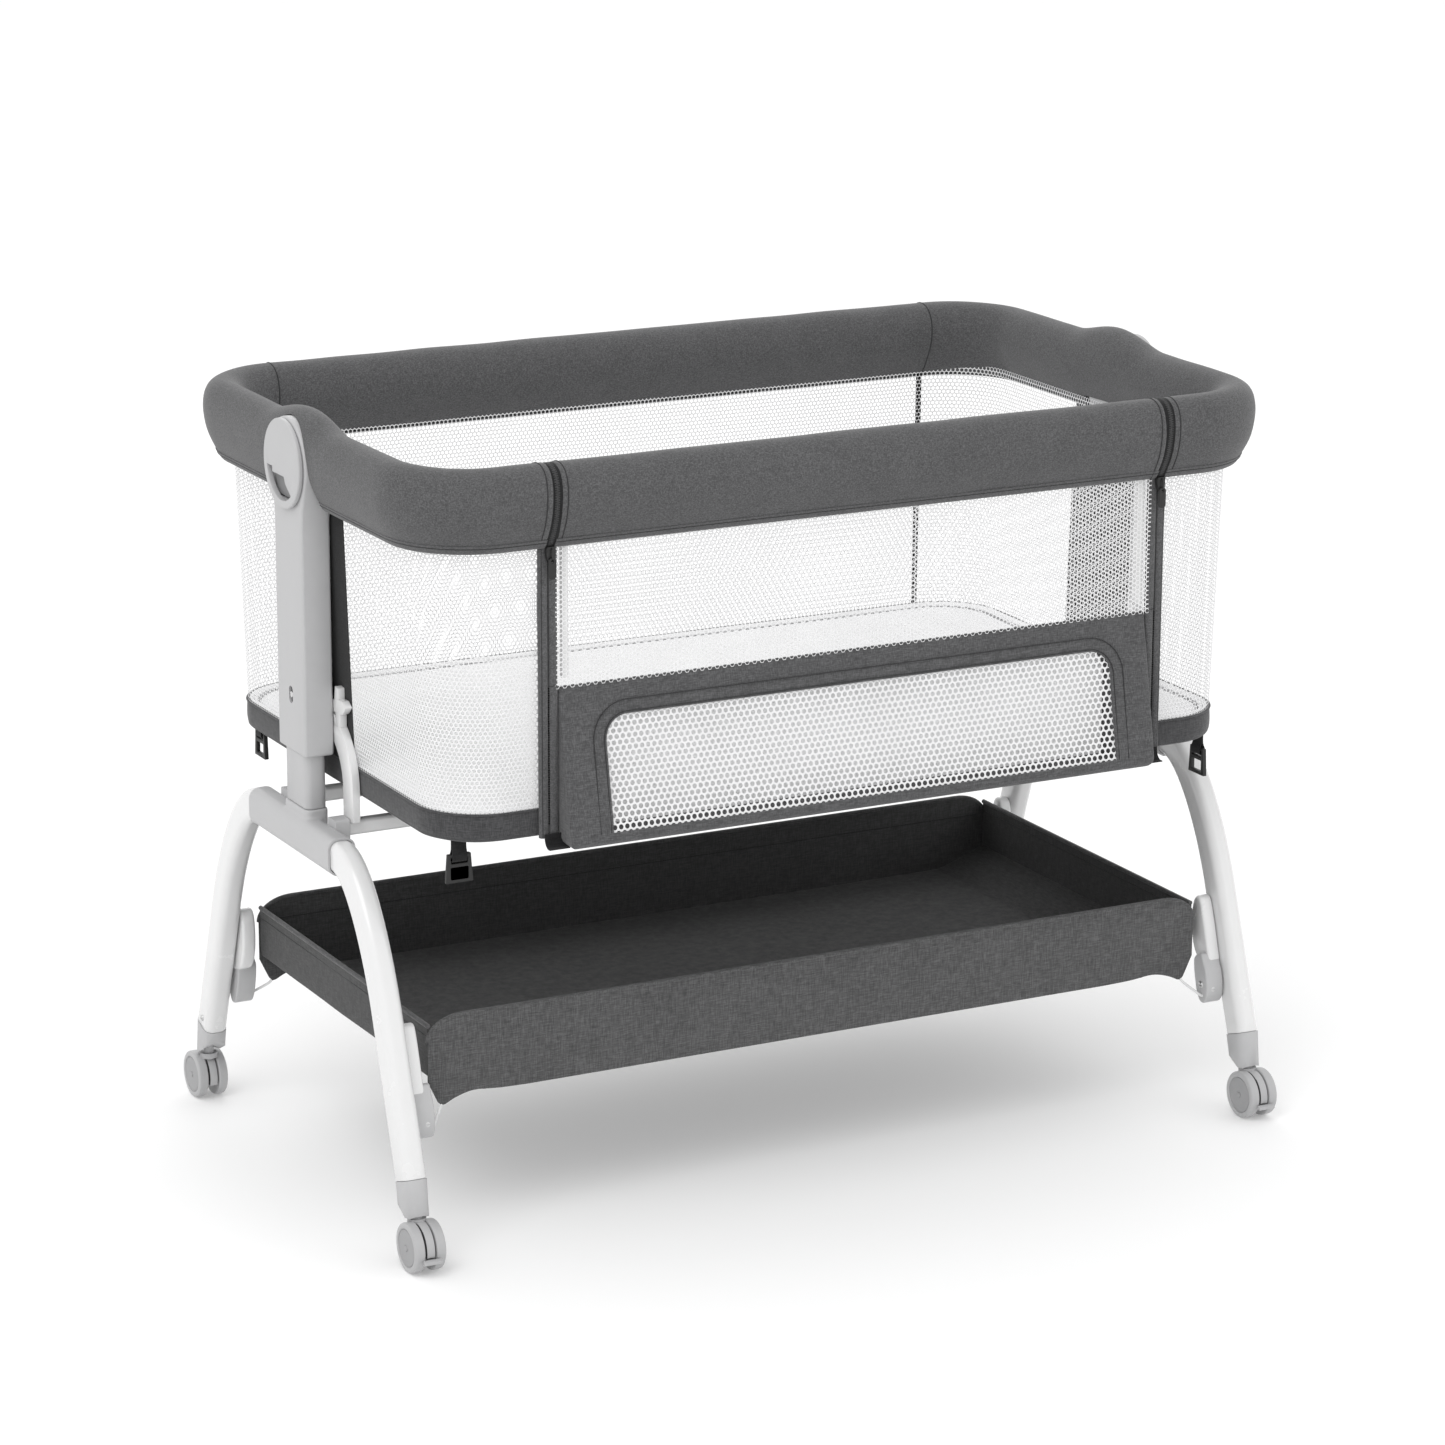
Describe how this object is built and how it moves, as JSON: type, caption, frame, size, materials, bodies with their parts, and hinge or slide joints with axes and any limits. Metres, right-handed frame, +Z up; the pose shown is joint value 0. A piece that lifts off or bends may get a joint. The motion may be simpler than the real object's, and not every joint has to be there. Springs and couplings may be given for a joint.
{
  "type": "bassinet",
  "caption": "Bedside bassinet with mesh walls and a fold-down side on a height-adjustable stand with casters and a storage basket",
  "frame": {"origin": "On the floor, under the middle of the bed", "axes": "+X runs along the bed, +Y to the back, away from the side that folds down, +Z up"},
  "size_m": [0.9036, 0.5623, 0.727],
  "materials": {
    "white_paint": "gloss",
    "grey_plastic": "satin",
    "wheel_plastic": "satin",
    "steel": "brushed",
    "grey_fabric": "woven heather",
    "dark_fabric": "woven",
    "white_mesh": "open mesh",
    "white_fabric": "knit",
    "black_plastic": "matte"
  },
  "bodies": {
    "stand": {"t_joint_left": "grey_plastic", "inner_post_left": "grey_plastic", "end_arch_left": "white_paint", "t_joint_right": "grey_plastic", "inner_post_right": "grey_plastic", "end_arch_right": "white_paint", "crossbar_front": "white_paint", "crossbar_back": "white_paint", "basket": "dark_fabric", "leg_left_front": "white_paint", "leg_cap_left_front": "grey_plastic", "basket_bracket_left_front": "white_paint", "leg_left_back": "white_paint", "leg_cap_left_back": "grey_plastic", "basket_bracket_left_back": "white_paint", "leg_right_front": "white_paint", "leg_cap_right_front": "grey_plastic", "basket_bracket_right_front": "white_paint", "leg_right_back": "white_paint", "leg_cap_right_back": "grey_plastic", "basket_bracket_right_back": "white_paint"},
    "bassinet": {"post_sleeve_left": "grey_plastic", "hub_cap_left": "grey_plastic", "post_sleeve_right": "grey_plastic", "hub_cap_right": "grey_plastic", "upper_frame_tube": "steel", "rim_cover": "grey_fabric", "mesh_wall_left": "white_mesh", "mesh_wall_right": "white_mesh", "mesh_wall_back": "white_mesh", "base_tray": "dark_fabric", "mattress": "white_fabric", "front_panel": "grey_fabric"},
    "drop_side": {"drop_rail_tube": "steel", "drop_rail_cover": "grey_fabric", "drop_mesh": "white_mesh"},
    "trigger_left": {"release_trigger_left": "grey_plastic"},
    "pin_left": {"height_pin_left": "steel"},
    "zip_left": {"zip_slider_left": "black_plastic"},
    "trigger_right": {"release_trigger_right": "grey_plastic"},
    "pin_right": {"height_pin_right": "steel"},
    "zip_right": {"zip_slider_right": "black_plastic"},
    "caster_left_front": {"caster_fork_left_front": "wheel_plastic"},
    "wheel_left_front_inner": {"caster_wheel_left_front_inner": "wheel_plastic"},
    "wheel_left_front_outer": {"caster_wheel_left_front_outer": "wheel_plastic"},
    "brake_left_front": {"brake_pedal_left_front": "wheel_plastic"},
    "buckle_left_front": {"strap_buckle_left_front": "black_plastic"},
    "caster_left_back": {"caster_fork_left_back": "wheel_plastic"},
    "wheel_left_back_inner": {"caster_wheel_left_back_inner": "wheel_plastic"},
    "wheel_left_back_outer": {"caster_wheel_left_back_outer": "wheel_plastic"},
    "buckle_left_back": {"strap_buckle_left_back": "black_plastic"},
    "caster_right_front": {"caster_fork_right_front": "wheel_plastic"},
    "wheel_right_front_inner": {"caster_wheel_right_front_inner": "wheel_plastic"},
    "wheel_right_front_outer": {"caster_wheel_right_front_outer": "wheel_plastic"},
    "brake_right_front": {"brake_pedal_right_front": "wheel_plastic"},
    "buckle_right_front": {"strap_buckle_right_front": "black_plastic"},
    "caster_right_back": {"caster_fork_right_back": "wheel_plastic"},
    "wheel_right_back_inner": {"caster_wheel_right_back_inner": "wheel_plastic"},
    "wheel_right_back_outer": {"caster_wheel_right_back_outer": "wheel_plastic"},
    "buckle_right_back": {"strap_buckle_right_back": "black_plastic"}
  },
  "joints": [
    {"name": "bed_height", "type": "slide", "parent": "stand", "child": "bassinet", "axis": [0, 0, 1], "range_m": [0, 0.12]},
    {"name": "drop_side_fold", "type": "hinge", "parent": "bassinet", "child": "drop_side", "pos_m": [0, -0.259, 0.517], "axis": [1, 0, 0], "range_deg": [0, 160]},
    {"name": "trigger_left_pull", "type": "slide", "parent": "bassinet", "child": "trigger_left", "axis": [0, 0, 1], "range_m": [0, 0.006], "stiffness_N_per_m": 300, "springref_m": -0.004},
    {"name": "pin_left_draw", "type": "slide", "parent": "bassinet", "child": "pin_left", "axis": [-1, 0, 0], "range_m": [0, 0.0033]},
    {"name": "zip_left_run", "type": "slide", "parent": "bassinet", "child": "zip_left", "axis": [0, 0, -1], "range_m": [0, 0.215]},
    {"name": "trigger_right_pull", "type": "slide", "parent": "bassinet", "child": "trigger_right", "axis": [0, 0, 1], "range_m": [0, 0.006], "stiffness_N_per_m": 300, "springref_m": -0.004},
    {"name": "pin_right_draw", "type": "slide", "parent": "bassinet", "child": "pin_right", "axis": [1, 0, 0], "range_m": [0, 0.0033]},
    {"name": "zip_right_run", "type": "slide", "parent": "bassinet", "child": "zip_right", "axis": [0, 0, -1], "range_m": [0, 0.215]},
    {"name": "caster_left_front_swivel", "type": "hinge", "parent": "stand", "child": "caster_left_front", "pos_m": [-0.437, -0.247, 0.045], "axis": [0, 0, 1], "continuous": true},
    {"name": "wheel_left_front_inner_spin", "type": "hinge", "parent": "caster_left_front", "child": "wheel_left_front_inner", "pos_m": [-0.42695, -0.256, 0.02275], "axis": [1, 0, 0], "continuous": true},
    {"name": "wheel_left_front_outer_spin", "type": "hinge", "parent": "caster_left_front", "child": "wheel_left_front_outer", "pos_m": [-0.44705, -0.256, 0.02275], "axis": [1, 0, 0], "continuous": true},
    {"name": "brake_left_front_press", "type": "hinge", "parent": "caster_left_front", "child": "brake_left_front", "pos_m": [-0.437, -0.272, 0.01525], "axis": [1, 0, 0], "range_deg": [0, 15]},
    {"name": "buckle_left_front_swing", "type": "hinge", "parent": "bassinet", "child": "buckle_left_front", "pos_m": [-0.383, -0.226, 0.38], "axis": [1, 0, 0], "range_deg": [-40, 40]},
    {"name": "caster_left_back_swivel", "type": "hinge", "parent": "stand", "child": "caster_left_back", "pos_m": [-0.437, 0.247, 0.045], "axis": [0, 0, 1], "continuous": true},
    {"name": "wheel_left_back_inner_spin", "type": "hinge", "parent": "caster_left_back", "child": "wheel_left_back_inner", "pos_m": [-0.42695, 0.256, 0.02275], "axis": [1, 0, 0], "continuous": true},
    {"name": "wheel_left_back_outer_spin", "type": "hinge", "parent": "caster_left_back", "child": "wheel_left_back_outer", "pos_m": [-0.44705, 0.256, 0.02275], "axis": [1, 0, 0], "continuous": true},
    {"name": "buckle_left_back_swing", "type": "hinge", "parent": "bassinet", "child": "buckle_left_back", "pos_m": [-0.383, 0.226, 0.38], "axis": [0, 1, 0], "range_deg": [-40, 40]},
    {"name": "caster_right_front_swivel", "type": "hinge", "parent": "stand", "child": "caster_right_front", "pos_m": [0.437, -0.247, 0.045], "axis": [0, 0, 1], "continuous": true},
    {"name": "wheel_right_front_inner_spin", "type": "hinge", "parent": "caster_right_front", "child": "wheel_right_front_inner", "pos_m": [0.42695, -0.256, 0.02275], "axis": [1, 0, 0], "continuous": true},
    {"name": "wheel_right_front_outer_spin", "type": "hinge", "parent": "caster_right_front", "child": "wheel_right_front_outer", "pos_m": [0.44705, -0.256, 0.02275], "axis": [1, 0, 0], "continuous": true},
    {"name": "brake_right_front_press", "type": "hinge", "parent": "caster_right_front", "child": "brake_right_front", "pos_m": [0.437, -0.272, 0.01525], "axis": [1, 0, 0], "range_deg": [0, 15]},
    {"name": "buckle_right_front_swing", "type": "hinge", "parent": "bassinet", "child": "buckle_right_front", "pos_m": [0.383, -0.226, 0.38], "axis": [0, 1, 0], "range_deg": [-40, 40]},
    {"name": "caster_right_back_swivel", "type": "hinge", "parent": "stand", "child": "caster_right_back", "pos_m": [0.437, 0.247, 0.045], "axis": [0, 0, 1], "continuous": true},
    {"name": "wheel_right_back_inner_spin", "type": "hinge", "parent": "caster_right_back", "child": "wheel_right_back_inner", "pos_m": [0.42695, 0.256, 0.02275], "axis": [1, 0, 0], "continuous": true},
    {"name": "wheel_right_back_outer_spin", "type": "hinge", "parent": "caster_right_back", "child": "wheel_right_back_outer", "pos_m": [0.44705, 0.256, 0.02275], "axis": [1, 0, 0], "continuous": true},
    {"name": "buckle_right_back_swing", "type": "hinge", "parent": "bassinet", "child": "buckle_right_back", "pos_m": [0.383, 0.226, 0.38], "axis": [1, 0, 0], "range_deg": [-40, 40]}
  ],
  "couplings": [
    {"joint": "pin_left_draw", "follows": "trigger_left_pull", "ratio": 0.55},
    {"joint": "pin_right_draw", "follows": "trigger_right_pull", "ratio": 0.55}
  ]
}
